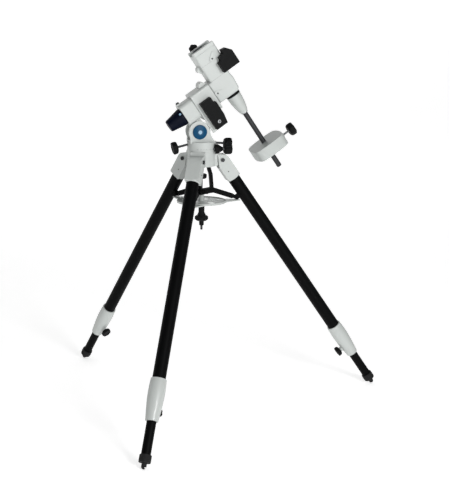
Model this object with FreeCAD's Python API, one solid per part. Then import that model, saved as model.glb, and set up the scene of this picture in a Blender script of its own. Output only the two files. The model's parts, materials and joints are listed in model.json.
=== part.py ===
import FreeCAD
import Part
import math
import os
from FreeCAD import Placement, Rotation, Vector

# German equatorial telescope mount on a three-leg field tripod.
# Units are millimetres. +Z is up and +X points north, the way the polar axis rises.
# The origin is on the ground, at the centre of the box round the spread feet.

# --- driving dimensions: tripod ------------------------------------------------------
FOOT_CIRCLE_R = 685.2        # radius of the circle that the foot tips stand on
PIVOT_R = 70.5               # leg hinge pins, from the vertical axis
PIVOT_Z = 887.0              # leg hinge pins, above the ground
OUTER_TUBE_R = 22.225        # 1.75 inch leg tube
INNER_TUBE_R = 15.875        # 1.25 inch leg tube
TUBE_WALL = 2.0
LEG_ANGLES = {"north": 0.0, "west": 120.0, "east": -120.0}
BRACKET_HALF_WIDTH = 25.0
LUG_HALF_WIDTH = 17.0
LUG_R = 19.0
PIN_R = 4.0
RUNNING_GAP = 0.05           # radial clearance of a shaft in its bore
PART_GAP = 0.5               # clearance between neighbours that move
TUBE_SEAT = 33.0             # upper end of the outer tube, measured down the leg
INNER_TUBE_TOP = 230.0       # upper end of the inner tube, measured down the leg
CLAMP_TOP = 785.0            # lower leg clamp, measured down the leg from the hinge pin
CLAMP_BOTTOM = 925.0
CLAMP_KNOB_AT = 885.0
FOOT_TIP_R = 8.5
HUB_R = 50.0
HUB_BOTTOM = 866.0
PAD_HALF_WIDTH = 26.0        # flat face of the hub behind each leg
HUB_TOP = 919.0
SPIGOT_R = 25.0              # centring spigot between hub and azimuth base
SPIGOT_DEPTH = 10.0
ROD_R = 4.0                  # M8 centre rod
BRACE_PIN_R = 3.0
BRACE_RING_Z = 772.0
BRACE_INNER_R = 40.0         # arm hinge on the spider
BRACE_INNER_Z = 778.0
BRACE_LUG_AT = 148.0         # arm hinge on the leg, measured down the leg
BRACE_LUG_OFFSET = 31.0      # and inwards from the leg axis
TRAY_R = 88.0
TRAY_WING_R = 143.0
TRAY_Z = 735.0
EYEPIECE_HOLE_R = 16.2       # takes a 1.25 inch eyepiece barrel

# --- driving dimensions: head --------------------------------------------------------
LATITUDE = 34.5              # tilt of the polar axis in degrees
CROSSING_R = 89.5            # polar and declination axes cross here, north of the centre
CROSSING_Z = 1149.0
BASE_R = 51.5
BASE_TOP = 952.0
LATITUDE_PIN_X = -14.0
LATITUDE_PIN_Z = 987.5
CHEEK_OUTER = 28.0
CHEEK_INNER = 17.5
CHEEK_TOP_R = 38.5
TAB_DROP = 41.0              # adjuster tab below the latitude pin
TAB_R = 12.0
HEAD_HALF_WIDTH = 38.0
POLAR_SHAFT_R = 17.5
POLAR_BORE_R = 11.0
POLAR_WHEEL_R = 32.0         # worm wheel tips
POLAR_TEETH = 72
DEC_WHEEL_R = 22.0
DEC_TEETH = 50
TOOTH_DEPTH = 1.2
WHEEL_THICKNESS = 10.0
WORM_R = 6.0
WORM_LENGTH = 26.0
WORM_GAP = 0.3               # between worm threads and wheel tips
SPINDLE_R = 3.0
COUNTERWEIGHT_SHAFT_R = 9.0
COUNTERWEIGHT_HALF = 64.5
COUNTERWEIGHT_CORNER = 24.0
COUNTERWEIGHT_SHIFT = 5.0    # the weight is longer on its knob's side
COUNTERWEIGHT_SCREW_R = 4.0
BOW_R = 190.0                # radius of the weight's bowed sides
COUNTERWEIGHT_TOP = -249.5
COUNTERWEIGHT_BOTTOM = -292.0
SHAFT_END = -356.0
SHAFT_SOCKET = -18.0         # top of its socket in the declination housing
SADDLE_NORTH = 36.0
SADDLE_BOTTOM = 147.5
SADDLE_TOP = 161.0
DOVETAIL_TOP_HALF = 19.0     # half width of the dovetail slot at its mouth
DOVETAIL_BOTTOM_HALF = 22.5  # and at its floor
DOVETAIL_DEPTH = 10.0
AZIMUTH_SCREW_Y = -39.0
AZIMUTH_SCREW_Z = 928.5
NORTH_BOLT_DROP = 4.4        # outward fall of the north latitude bolt, in degrees
SOUTH_BOLT_DROP = 13.4       # outward fall of the south latitude bolt, in degrees
TAB_X = LATITUDE_PIN_X
TAB_Z = LATITUDE_PIN_Z - TAB_DROP
POLAR_END = -190.0           # lower end of the polar housing
POLAR_STEP = -138.0          # slim barrel to the south of this, wide barrel to the north
POLAR_FACE = -61.5           # upper face, where the declination housing turns on it
POLAR_SHAFT_TOP = -48.0      # the polar shaft's end, inside the declination housing
POLAR_WHEEL_AT = -112.0
POLAR_WORM_D = -(POLAR_WHEEL_R + WORM_R + WORM_GAP)
POLAR_COVER = [(-126, -96), (-126, 11), (-83, 11), (-83, -12), (-75, -12), (-75, -63), (-81, -96)]
COVER_WALL = 2.5
COVER_OUTER = -64.0
DEC_SHAFT_R = 15.0
DEC_WHEEL_AT = 80.0
DEC_WORM_Y = -(DEC_WHEEL_R + WORM_R + WORM_GAP)
NECK_RIGHT = 26.0            # the housing's neck, on the side of the motor
DEC_COVER = [(6, 51), (6, 90), (18, 92), (18, 105), (37, 109), (37, 123), (55, 121), (71, 102), (71, 53),
             (69, 51)]
JAW_LOW_Y = 24.0
JAW_HALF_LENGTH = 18.0
JAW_X = -14.0                # middle of the jaw, along the slot
SADDLE_KNOB_Y = 64.0         # far enough out to swing past the housing's corners

X_AXIS = Vector(1, 0, 0)
Y_AXIS = Vector(0, 1, 0)
Z_AXIS = Vector(0, 0, 1)

LEG_LENGTH = math.hypot(FOOT_CIRCLE_R - PIVOT_R, PIVOT_Z)
LEG_TILT = math.degrees(math.atan2(PIVOT_Z, FOOT_CIRCLE_R - PIVOT_R))
# The feet stand at +R and at -R/2 along X, so the vertical axis stands off the origin.
AXIS_X = -FOOT_CIRCLE_R / 4


# --- basic solids --------------------------------------------------------------------
def cylinder(radius, start, end):
    """Round bar between two points."""
    axis = Vector(*end) - Vector(*start)
    return Part.makeCylinder(radius, axis.Length, Vector(*start), axis)


def ring(outer, inner, start, end):
    return cylinder(outer, start, end).cut(cylinder(inner, start, end))


def block(low, high):
    size = Vector(*high) - Vector(*low)
    return Part.makeBox(size.x, size.y, size.z, Vector(*low))


def rounded_block(low, high, radius, along=None):
    """Block with rounded edges: all of them, or only those along one axis."""
    solid = block(low, high)
    edges = solid.Edges
    if along is not None:
        edges = [e for e in edges if abs(e.tangentAt(e.FirstParameter).dot(along)) > 0.99]
    return solid.makeFillet(radius, edges)


def prism(points, y_low, y_high):
    """Solid with an outline of (x, z) points, between two values of y."""
    corners = [Vector(x, y_low, z) for x, z in points]
    outline = Part.makePolygon(corners + corners[:1])
    return Part.Face(outline).extrude(Vector(0, y_high - y_low, 0))


def turned(profile, axis=Z_AXIS):
    """Solid of revolution: (radius, height) points about Z, then laid along an axis."""
    corners = [Vector(r, 0, h) for r, h in profile]
    outline = Part.makePolygon(corners + corners[:1])
    solid = Part.Face(outline).revolve(Vector(0, 0, 0), Z_AXIS, 360)
    solid.Placement = Placement(Vector(0, 0, 0), Rotation(Z_AXIS, axis))
    return solid


def bulged(profile):
    """Solid of revolution about Z: a smooth curve through (radius, height) points, closed on the axis."""
    curve = Part.BSplineCurve()
    curve.interpolate([Vector(r, 0, h) for r, h in profile])
    start = Vector(0, 0, profile[0][1])
    end = Vector(0, 0, profile[-1][1])
    points = [Vector(profile[-1][0], 0, profile[-1][1]), end, start, Vector(profile[0][0], 0, profile[0][1])]
    outline = Part.Wire([curve.toShape()] + Part.makePolygon(points).Edges)
    return Part.Face(outline).revolve(Vector(0, 0, 0), Z_AXIS, 360)


def moved(solid, x, y, z):
    copy = solid.copy()
    copy.translate(Vector(x, y, z))
    return copy


def fused(first, *others):
    return first.fuse(list(others)).removeSplitter()


def grip_knob(radius, height, lobes, bore=0.0):
    """Scalloped hand knob on Z, with its base at z = 0 and its crowned face on top."""
    crown = height * 0.18
    body = turned([(0, 0), (radius * 0.72, 0), (radius, height * 0.3),
                   (radius, height - crown), (radius * 0.82, height), (0, height)])
    flute_r = radius * 0.26
    flute_at = radius * 1.12
    for i in range(lobes):
        turn = 2 * math.pi * i / lobes
        x = flute_at * math.cos(turn)
        y = flute_at * math.sin(turn)
        body = body.cut(cylinder(flute_r, (x, y, -1), (x, y, height + 1)))
    if bore:
        body = body.cut(cylinder(bore, (0, 0, -1), (0, 0, height + 1)))
    return body


def laid_along(solid, direction, at):
    """Turn a solid from Z to a direction and move its origin to a point."""
    copy = solid.copy()
    copy.Placement = Placement(Vector(*at), Rotation(Z_AXIS, Vector(*direction)))
    return copy


def toothed_disc(tip_r, teeth, tooth_depth, thickness, bore):
    """Gear blank with straight-sided teeth, on Z from z = 0."""
    root_r = tip_r - tooth_depth
    pitch = 2 * math.pi / teeth
    corners = []
    for i in range(teeth):
        for share, radius in ((0.0, root_r), (0.28, root_r), (0.42, tip_r), (0.86, tip_r)):
            turn = pitch * (i + share)
            corners.append(Vector(radius * math.cos(turn), radius * math.sin(turn), 0))
    outline = Part.makePolygon(corners + corners[:1])
    disc = Part.Face(outline).extrude(Vector(0, 0, thickness))
    return disc.cut(cylinder(bore, (0, 0, -1), (0, 0, thickness + 1)))


def worm_screw(length, pitch):
    """Worm on Z from z = 0, with its threads as rings."""
    root = WORM_R - 1.4
    points = [(0, 0), (root, 0)]
    for i in range(int(length / pitch)):
        foot = pitch * i
        points += [(root, foot + pitch * 0.15), (WORM_R, foot + pitch * 0.4),
                   (WORM_R, foot + pitch * 0.6), (root, foot + pitch * 0.85)]
    points += [(root, length), (0, length)]
    return turned(points)


# --- places --------------------------------------------------------------------------
def upright(solid):
    """Parts drawn about the vertical axis."""
    return moved(solid, AXIS_X, 0, 0)


def leg_place(angle):
    """Leg frame: x runs down the leg from its hinge pin, z points out of its upper side."""
    lean = Rotation(Y_AXIS, LEG_TILT)
    swing = Rotation(Z_AXIS, angle)
    pin = swing.multVec(Vector(PIVOT_R, 0, PIVOT_Z))
    return Placement(pin + Vector(AXIS_X, 0, 0), swing.multiply(lean))


def on_leg(solid, angle):
    copy = solid.copy()
    copy.Placement = leg_place(angle).multiply(copy.Placement)
    return copy


def around(solid, angle):
    """Parts drawn on the north leg's side of the vertical axis."""
    copy = solid.copy()
    swing = Placement(Vector(AXIS_X, 0, 0), Rotation(Z_AXIS, angle))
    copy.Placement = swing.multiply(copy.Placement)
    return copy


def on_axes(solid):
    """Head frame: x runs up the polar axis and z up the declination axis."""
    copy = solid.copy()
    tilt = Placement(Vector(CROSSING_R + AXIS_X, 0, CROSSING_Z), Rotation(Y_AXIS, -LATITUDE))
    copy.Placement = tilt.multiply(copy.Placement)
    return copy


# --- tripod hub ----------------------------------------------------------------------
def hub_arm():
    """Flat pad and hinge lug of one leg, drawn towards +X."""
    pad = block((30, -PAD_HALF_WIDTH, HUB_BOTTOM), (HUB_R + 1, PAD_HALF_WIDTH, HUB_TOP))
    lug_end = cylinder(LUG_R, (PIVOT_R, -LUG_HALF_WIDTH, PIVOT_Z), (PIVOT_R, LUG_HALF_WIDTH, PIVOT_Z))
    lug_web = block((HUB_R - 6, -LUG_HALF_WIDTH, PIVOT_Z - LUG_R), (PIVOT_R, LUG_HALF_WIDTH, PIVOT_Z + LUG_R))
    return fused(pad, lug_end, lug_web)


def tripod_hub():
    body = cylinder(HUB_R, (0, 0, HUB_BOTTOM), (0, 0, HUB_TOP))
    for angle in LEG_ANGLES.values():
        arm = hub_arm()
        arm.rotate(Vector(0, 0, 0), Z_AXIS, angle)
        body = body.fuse(arm)
    body = body.removeSplitter()
    # The casting is hollow underneath, round a boss for the centre rod.
    cavity = ring(HUB_R - 4, 13, (0, 0, HUB_BOTTOM - 1), (0, 0, HUB_TOP - SPIGOT_DEPTH - 6))
    body = body.cut(cavity)
    body = body.cut(cylinder(SPIGOT_R, (0, 0, HUB_TOP - SPIGOT_DEPTH), (0, 0, HUB_TOP + 1)))
    body = body.cut(cylinder(ROD_R + RUNNING_GAP, (0, 0, HUB_BOTTOM - 1), (0, 0, HUB_TOP)))
    for angle in LEG_ANGLES.values():
        hole = cylinder(PIN_R, (PIVOT_R, -40, PIVOT_Z), (PIVOT_R, 40, PIVOT_Z))
        hole.rotate(Vector(0, 0, 0), Z_AXIS, angle)
        body = body.cut(hole)
    # The peg stands up into the azimuth base, where the azimuth screw pushes it.
    peg = cylinder(5, (8, AZIMUTH_SCREW_Y, HUB_TOP - 4), (8, AZIMUTH_SCREW_Y, HUB_TOP + 14))
    return body.fuse(peg).removeSplitter()


def leg_pivot_bolts():
    bolts = []
    for angle in LEG_ANGLES.values():
        shank = cylinder(PIN_R, (PIVOT_R, -BRACKET_HALF_WIDTH - 0.4, PIVOT_Z),
                         (PIVOT_R, BRACKET_HALF_WIDTH + 0.4, PIVOT_Z))
        heads = []
        for side in (-1, 1):
            start = side * (BRACKET_HALF_WIDTH + 0.3)
            head = cylinder(7, (PIVOT_R, start, PIVOT_Z), (PIVOT_R, start + side * 4.5, PIVOT_Z))
            socket = cylinder(3, (PIVOT_R, start + side * 2, PIVOT_Z),
                              (PIVOT_R, start + side * 5, PIVOT_Z))
            heads.append(head.cut(socket))
        bolts.append(around(fused(shank, *heads), angle))
    return Part.Compound(bolts)


# --- legs (leg frame) ----------------------------------------------------------------
def leg_bracket():
    half = 24.5
    outline = [(-26, -4), (-8, 21), (4, half), (78, half), (80, half - 3), (80, 3 - half),
               (78, -half), (16, -half)]
    body = prism(outline, -BRACKET_HALF_WIDTH, BRACKET_HALF_WIDTH)
    slot = block((-40, -LUG_HALF_WIDTH - 0.4, -40), (LUG_R + 1.5, LUG_HALF_WIDTH + 0.4, 40))
    body = body.cut(slot)
    body = body.cut(cylinder(OUTER_TUBE_R, (TUBE_SEAT, 0, 0), (90, 0, 0)))
    pin_hole = cylinder(PIN_R + RUNNING_GAP, (0, -40, 0), (0, 40, 0))
    return body.cut(pin_hole)


def leg_outer_tube():
    tube = ring(OUTER_TUBE_R, OUTER_TUBE_R - TUBE_WALL, (TUBE_SEAT, 0, 0), (CLAMP_TOP + 60, 0, 0))
    eye_z = -BRACE_LUG_OFFSET
    lugs = []
    for side in (-1, 1):
        inner = side * 6.5
        outer = side * 10.0
        ear = cylinder(7.5, (BRACE_LUG_AT, inner, eye_z), (BRACE_LUG_AT, outer, eye_z))
        foot = block((BRACE_LUG_AT - 7.5, min(inner, outer), eye_z),
                     (BRACE_LUG_AT + 7.5, max(inner, outer), 1.5 - OUTER_TUBE_R + 2.5))
        head = cylinder(4, (BRACE_LUG_AT, outer, eye_z), (BRACE_LUG_AT, outer + side * 2.5, eye_z))
        lugs += [ear, foot, head]
    bore = cylinder(OUTER_TUBE_R - TUBE_WALL, (20, 0, 0), (400, 0, 0))
    return fused(tube, *lugs).cut(bore)


def leg_clamp():
    """Bulged casting that closes the outer tube and grips the inner one."""
    length = CLAMP_BOTTOM - CLAMP_TOP
    body = bulged([(26.0, 0), (28.4, 35), (26.6, 85), (21.0, length)])
    body.Placement = Placement(Vector(CLAMP_TOP, 0, 0), Rotation(Z_AXIS, X_AXIS))
    boss = cylinder(9, (CLAMP_KNOB_AT, 0, -18), (CLAMP_KNOB_AT, 0, -32))
    body = fused(body, boss)
    body = body.cut(cylinder(OUTER_TUBE_R, (CLAMP_TOP - 1, 0, 0), (CLAMP_TOP + 60, 0, 0)))
    body = body.cut(cylinder(INNER_TUBE_R + RUNNING_GAP, (CLAMP_TOP, 0, 0), (CLAMP_BOTTOM + 1, 0, 0)))
    screw_hole = cylinder(4 + RUNNING_GAP, (CLAMP_KNOB_AT, 0, -10), (CLAMP_KNOB_AT, 0, -40))
    return body.cut(screw_hole)


def leg_clamp_knob():
    grip = grip_knob(19, 15, 7)
    screw = cylinder(4, (0, 0, -15), (0, 0, 1))
    knob = fused(grip, screw)
    return laid_along(knob, (0, 0, -1), (CLAMP_KNOB_AT, 0, -33.5))


def leg_inner_tube():
    """Sliding tube: it can run out until a hand's breadth of it is left above the clamp."""
    return ring(INNER_TUBE_R, INNER_TUBE_R - TUBE_WALL, (INNER_TUBE_TOP, 0, 0), (LEG_LENGTH - 42, 0, 0))


def leg_foot():
    """Rubber boot on the inner tube, with a round-nosed tip on the ground."""
    nose = Part.makeSphere(FOOT_TIP_R, Vector(LEG_LENGTH - FOOT_TIP_R, 0, 0))
    tip = cylinder(FOOT_TIP_R, (LEG_LENGTH - 22, 0, 0), (LEG_LENGTH - FOOT_TIP_R, 0, 0))
    collar = cylinder(19.5, (LEG_LENGTH - 46, 0, 0), (LEG_LENGTH - 21, 0, 0))
    boot = fused(collar, tip, nose)
    boot = boot.cut(cylinder(INNER_TUBE_R, (LEG_LENGTH - 60, 0, 0), (LEG_LENGTH - 42, 0, 0)))
    # The ground plane, seen from the leg frame, leaves a small flat on the tip.
    ground = block((-100, -100, -100), (100, 100, 0))
    ground.Placement = Placement(Vector(LEG_LENGTH, 0, 0), Rotation(Y_AXIS, -LEG_TILT))
    return boot.cut(ground)


# --- brace and spreader (drawn about the vertical axis) ------------------------------
def leg_point(along, offset):
    """A point in the north leg's frame, as (x, z) beside the vertical axis."""
    tilt = math.radians(LEG_TILT)
    x = PIVOT_R + along * math.cos(tilt) + offset * math.sin(tilt)
    z = PIVOT_Z - along * math.sin(tilt) + offset * math.cos(tilt)
    return x, z


def bar(start, end, depth, y_low, y_high):
    """Flat bar with round ends between two (x, z) points."""
    run = Vector(end[0] - start[0], 0, end[1] - start[1])
    side = Vector(-run.z, 0, run.x).normalize() * (depth / 2)
    corners = [(start[0] + side.x, start[1] + side.z), (end[0] + side.x, end[1] + side.z),
               (end[0] - side.x, end[1] - side.z), (start[0] - side.x, start[1] - side.z)]
    web = prism(corners, y_low, y_high)
    ends = [cylinder(depth / 2, (p[0], y_low, p[1]), (p[0], y_high, p[1])) for p in (start, end)]
    return fused(web, *ends)


def brace_spider():
    """Ring on the centre rod, with three guide struts and three pairs of arm ears."""
    body = cylinder(14, (0, 0, BRACE_RING_Z - 8), (0, 0, BRACE_RING_Z + 8))
    for angle in LEG_ANGLES.values():
        pieces = []
        for low, high in ((-9.5, -5.5), (5.5, 9.5)):
            pieces.append(bar((10, BRACE_RING_Z + 2), (BRACE_INNER_R, BRACE_INNER_Z), 19, low, high))
        strut_foot = (BRACE_INNER_R - 3, BRACE_INNER_Z + 8)
        strut_knee = (33, 834)
        pieces.append(bar(strut_knee, strut_foot, 12, -8, 8))
        pieces.append(bar((24, 864), strut_knee, 12, -8, 8))
        pieces.append(block((6, -9.5, BRACE_RING_Z - 8), (22, 9.5, BRACE_RING_Z + 6)))
        for piece in pieces:
            piece.rotate(Vector(0, 0, 0), Z_AXIS, angle)
            body = body.fuse(piece)
    room = [arm_swing_room(angle) for angle in LEG_ANGLES.values()]
    body = body.cut(room)
    body = body.fuse([arm_pin(angle) for angle in LEG_ANGLES.values()]).removeSplitter()
    return body.cut(cylinder(ROD_R + RUNNING_GAP, (0, 0, 700), (0, 0, 900)))


def arm_swing_room(angle):
    room = cylinder(11, (BRACE_INNER_R, -5.5, BRACE_INNER_Z), (BRACE_INNER_R, 5.5, BRACE_INNER_Z))
    room.rotate(Vector(0, 0, 0), Z_AXIS, angle)
    return room


def arm_pin(angle):
    pin = cylinder(BRACE_PIN_R, (BRACE_INNER_R, -9, BRACE_INNER_Z), (BRACE_INNER_R, 9, BRACE_INNER_Z))
    pin.rotate(Vector(0, 0, 0), Z_AXIS, angle)
    return pin


def brace_arm():
    """Flat arm from the spider to the leg lug, with a rivet head part way along."""
    inner = (BRACE_INNER_R, BRACE_INNER_Z)
    outer = leg_point(BRACE_LUG_AT, -BRACE_LUG_OFFSET)
    span = math.hypot(outer[0] - inner[0], outer[1] - inner[1])
    def part_way(distance):
        share = distance / span
        return inner[0] + (outer[0] - inner[0]) * share, inner[1] + (outer[1] - inner[1]) * share

    slim = bar(inner, outer, 13, -5, 5)
    deep = bar(inner, part_way(span * 0.8), 18, -5, 5)
    rivet_x, rivet_z = part_way(46)
    rivet = cylinder(4, (rivet_x, -6, rivet_z), (rivet_x, 6, rivet_z))
    arm = fused(slim, deep, rivet)
    return arm.cut(cylinder(BRACE_PIN_R + RUNNING_GAP, (inner[0], -6, inner[1]), (inner[0], 6, inner[1])))


def tray_wing():
    """One pointed wing towards +X, from the rim to just short of the leg."""
    root = TRAY_R - 12
    tip = TRAY_WING_R
    corners = [(root, 36), (TRAY_R + 12, 24), (tip - 12, 11), (tip, 6), (tip, -6), (tip - 12, -11),
               (TRAY_R + 12, -24), (root, -36)]
    points = [Vector(x, y, TRAY_Z) for x, y in corners]
    face = Part.Face(Part.makePolygon(points + points[:1]))
    return face.extrude(Vector(0, 0, 4))


def spreader_tray():
    floor = cylinder(TRAY_R, (0, 0, TRAY_Z), (0, 0, TRAY_Z + 4))
    rim = ring(TRAY_R, TRAY_R - 3.5, (0, 0, TRAY_Z), (0, 0, TRAY_Z + 7))
    boss = cylinder(10, (0, 0, TRAY_Z - 8), (0, 0, BRACE_RING_Z - 9))
    body = floor.fuse([rim, boss])
    for angle in LEG_ANGLES.values():
        wing = tray_wing()
        rib = block((9, -1.5, TRAY_Z), (TRAY_R - 2, 1.5, TRAY_Z + 6))
        for piece in (wing, rib):
            piece.rotate(Vector(0, 0, 0), Z_AXIS, angle)
            body = body.fuse(piece)
    body = body.removeSplitter()
    for angle in LEG_ANGLES.values():
        turn = math.radians(angle + 60)
        x = 52 * math.cos(turn)
        y = 52 * math.sin(turn)
        body = body.cut(cylinder(EYEPIECE_HOLE_R, (x, y, TRAY_Z - 1), (x, y, TRAY_Z + 5)))
    return body.cut(cylinder(ROD_R + RUNNING_GAP, (0, 0, 700), (0, 0, 900)))


def tension_sleeve():
    outline = [(0, 686.5), (15, 686.5), (15, 690), (11.5, 697), (10.8, 697), (10.8, TRAY_Z - 8.2),
               (0, TRAY_Z - 8.2)]
    return turned(outline).cut(cylinder(ROD_R + RUNNING_GAP, (0, 0, 600), (0, 0, 800)))


def tension_knob():
    grip = moved(grip_knob(24, 18, 8), 0, 0, 668)
    neck = turned([(0, 651), (7.5, 651), (8.5, 653), (8.5, 669), (0, 669)])
    knob = fused(grip, neck)
    return knob.cut(cylinder(ROD_R + RUNNING_GAP, (0, 0, 600), (0, 0, 800)))


def centre_bolt():
    return cylinder(ROD_R, (0, 0, 635), (0, 0, 916))


def centre_bolt_knob():
    grip = moved(grip_knob(19, 17, 6), 0, 0, 819.5)
    return grip.cut(cylinder(ROD_R, (0, 0, 800), (0, 0, 900)))


# --- azimuth base (drawn about the vertical axis) ------------------------------------
def cheek(y_low, y_high):
    """Side plate of the fork, round-topped about the latitude pin."""
    foot_left = -47.5
    left = LATITUDE_PIN_X - CHEEK_TOP_R
    right = LATITUDE_PIN_X + CHEEK_TOP_R
    outline = [(foot_left, BASE_TOP - 4), (foot_left, BASE_TOP + 16), (left, LATITUDE_PIN_Z),
               (right, LATITUDE_PIN_Z), (26, 978), (38, 956), (42, BASE_TOP - 4)]
    plate = prism(outline, y_low, y_high)
    top = cylinder(CHEEK_TOP_R, (LATITUDE_PIN_X, y_low, LATITUDE_PIN_Z),
                   (LATITUDE_PIN_X, y_high, LATITUDE_PIN_Z))
    return plate.fuse(top)


def bolt_point(direction, drop, distance):
    """A point on a latitude bolt's axis, a distance out from the tab's centre."""
    fall = math.radians(drop)
    return (TAB_X + direction * distance * math.cos(fall), 0, TAB_Z + 4.5 - distance * math.sin(fall))


def azimuth_base():
    drum = cylinder(BASE_R, (0, 0, HUB_TOP + PART_GAP), (0, 0, BASE_TOP))
    spigot = cylinder(SPIGOT_R - RUNNING_GAP, (0, 0, HUB_TOP - SPIGOT_DEPTH + 1), (0, 0, HUB_TOP + 1))
    cheeks = [cheek(-CHEEK_OUTER, -CHEEK_INNER), cheek(CHEEK_INNER, CHEEK_OUTER)]
    end_walls = [block((-47.5, -CHEEK_INNER, BASE_TOP - 4), (-38, CHEEK_INNER, BASE_TOP + 6)),
                 block((28, -CHEEK_INNER, BASE_TOP - 4), (42, CHEEK_INNER, BASE_TOP + 4))]
    body = fused(drum, spigot, *cheeks, *end_walls)
    well = block((-38, -CHEEK_INNER, TAB_Z - TAB_R - 4), (28, CHEEK_INNER, BASE_TOP + 1))
    body = body.cut(well)
    pin_hole = cylinder(6, (LATITUDE_PIN_X, -40, LATITUDE_PIN_Z), (LATITUDE_PIN_X, 40, LATITUDE_PIN_Z))
    body = body.cut(pin_hole)
    body = body.cut(cylinder(ROD_R + RUNNING_GAP, (0, 0, 900), (0, 0, 918)))
    for direction, drop in ((1, NORTH_BOLT_DROP), (-1, SOUTH_BOLT_DROP)):
        hole = cylinder(4 + RUNNING_GAP, bolt_point(direction, drop, 12), bolt_point(direction, drop, 90))
        body = body.cut(hole)
    # A curved slot under the drum clears the hub's peg over the azimuth travel.
    slot = ring(46, 33, (0, 0, HUB_TOP), (0, 0, HUB_TOP + 16))
    slot = slot.common(block((-8, -50, 0), (24, 0, 1000)))
    body = body.cut(slot)
    screw_hole = cylinder(4 + RUNNING_GAP, (14, AZIMUTH_SCREW_Y, AZIMUTH_SCREW_Z),
                          (60, AZIMUTH_SCREW_Y, AZIMUTH_SCREW_Z))
    return body.cut(screw_hole)


def latitude_pivot_bolt():
    return cylinder(6, (LATITUDE_PIN_X, -CHEEK_OUTER, LATITUDE_PIN_Z),
                    (LATITUDE_PIN_X, CHEEK_OUTER, LATITUDE_PIN_Z))


def latitude_pivot_caps():
    """Domed covers over both ends of the latitude pin."""
    caps = []
    for side in (-1, 1):
        dome = turned([(0, 0), (25.5, 0), (25.5, 3), (24, 5), (13, 7.5), (0, 8)])
        caps.append(laid_along(dome, (0, side, 0), (LATITUDE_PIN_X, side * CHEEK_OUTER, LATITUDE_PIN_Z)))
    return caps


def latitude_rod(direction, drop, reach):
    return cylinder(4, bolt_point(direction, drop, TAB_R + 3), bolt_point(direction, drop, reach))


def latitude_knob(direction, drop, reach, radius, height):
    start = Vector(*bolt_point(direction, drop, reach))
    out = start - Vector(*bolt_point(direction, drop, 0))
    return laid_along(grip_knob(radius, height, 7), out, start)


def azimuth_boss():
    """Conical nut housing that carries the azimuth screw, south face on the drum."""
    boss = turned([(0, 0), (17, 0), (17, 12), (15.5, 14), (6.5, 29), (0, 29)], X_AXIS)
    boss = moved(boss, 36.5, AZIMUTH_SCREW_Y, AZIMUTH_SCREW_Z)
    drum = cylinder(BASE_R, (0, 0, HUB_TOP), (0, 0, BASE_TOP))
    hub_room = cylinder(HUB_R + 10, (0, 0, 0), (0, 0, HUB_TOP + PART_GAP))
    boss = boss.cut([drum, hub_room])
    return boss.cut(cylinder(4 + RUNNING_GAP, (30, AZIMUTH_SCREW_Y, AZIMUTH_SCREW_Z),
                             (90, AZIMUTH_SCREW_Y, AZIMUTH_SCREW_Z)))


def azimuth_knob():
    grip = laid_along(grip_knob(20, 28, 8), (1, 0, 0), (70, AZIMUTH_SCREW_Y, AZIMUTH_SCREW_Z))
    screw = cylinder(4, (20, AZIMUTH_SCREW_Y, AZIMUTH_SCREW_Z), (74, AZIMUTH_SCREW_Y, AZIMUTH_SCREW_Z))
    return fused(grip, screw)


# --- polar axis (head frame) ---------------------------------------------------------


def in_head_frame(x, z):
    """A point beside the vertical axis, as (x, z) in the head frame."""
    tilt = math.radians(LATITUDE)
    dx = x - CROSSING_R
    dz = z - CROSSING_Z
    return dx * math.cos(tilt) + dz * math.sin(tilt), dz * math.cos(tilt) - dx * math.sin(tilt)


def polar_housing():
    wide = HEAD_HALF_WIDTH
    slim_barrel = rounded_block((POLAR_END, -30, -37), (POLAR_STEP + 6, 30, 41), 15, X_AXIS)
    wide_barrel = rounded_block((POLAR_STEP, -wide, -50), (POLAR_FACE, wide, 50), 8, X_AXIS)
    lever_boss = cylinder(14, (-78, -22, 50), (-78, 22, 50))
    stop_lug = block((POLAR_END, -7, 36), (POLAR_END + 15, 7, 47))
    plate = block((-139, -wide, -104), (-77, -CHEEK_OUTER - PART_GAP, -30))
    pin = in_head_frame(LATITUDE_PIN_X, LATITUDE_PIN_Z)
    tab = in_head_frame(TAB_X, TAB_Z)
    eye = cylinder(30, (pin[0], -17, pin[1]), (pin[0], 17, pin[1]))
    web = block((POLAR_END, -17, pin[1]), (pin[0] + 30, 17, -20))
    lever = bar((pin[0], pin[1]), tab, 2 * TAB_R, -17, 17)
    body = fused(slim_barrel, wide_barrel, lever_boss, stop_lug, plate, eye, web, lever)
    # The barrels clear the round-topped cheeks as the head tilts.
    sweep_r = CHEEK_TOP_R + PART_GAP
    for low, high in ((-60, -CHEEK_INNER + 0.5), (CHEEK_INNER - 0.5, 60)):
        sweep = cylinder(sweep_r, (pin[0], low, pin[1]), (pin[0], high, pin[1]))
        body = body.cut(sweep)
    body = body.cut(cylinder(6 + RUNNING_GAP, (pin[0], -40, pin[1]), (pin[0], 40, pin[1])))
    body = body.cut(cylinder(POLAR_SHAFT_R + 1.5, (POLAR_END - 1, 0, 0), (POLAR_FACE + 1, 0, 0)))
    for start in (POLAR_END - 1, -84):
        body = body.cut(cylinder(27, (start, 0, 0), (start + 13, 0, 0)))
    wheel_room = cylinder(POLAR_WHEEL_R + 1.5, (POLAR_WHEEL_AT - 4, 0, 0),
                          (POLAR_WHEEL_AT + WHEEL_THICKNESS + 4, 0, 0))
    worm_x = POLAR_WHEEL_AT + WHEEL_THICKNESS / 2
    worm_room = cylinder(WORM_R + 1.5, (worm_x, -wide - 1, POLAR_WORM_D), (worm_x, 28, POLAR_WORM_D))
    return body.cut([wheel_room, worm_room])


def polar_bearings():
    races = []
    for start in (POLAR_END, -84):
        races.append(ring(27, POLAR_SHAFT_R + RUNNING_GAP, (start, 0, 0), (start + 12, 0, 0)))
    return races


def polar_shaft():
    return ring(POLAR_SHAFT_R, POLAR_BORE_R, (POLAR_END + 0.5, 0, 0), (POLAR_SHAFT_TOP, 0, 0))


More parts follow.
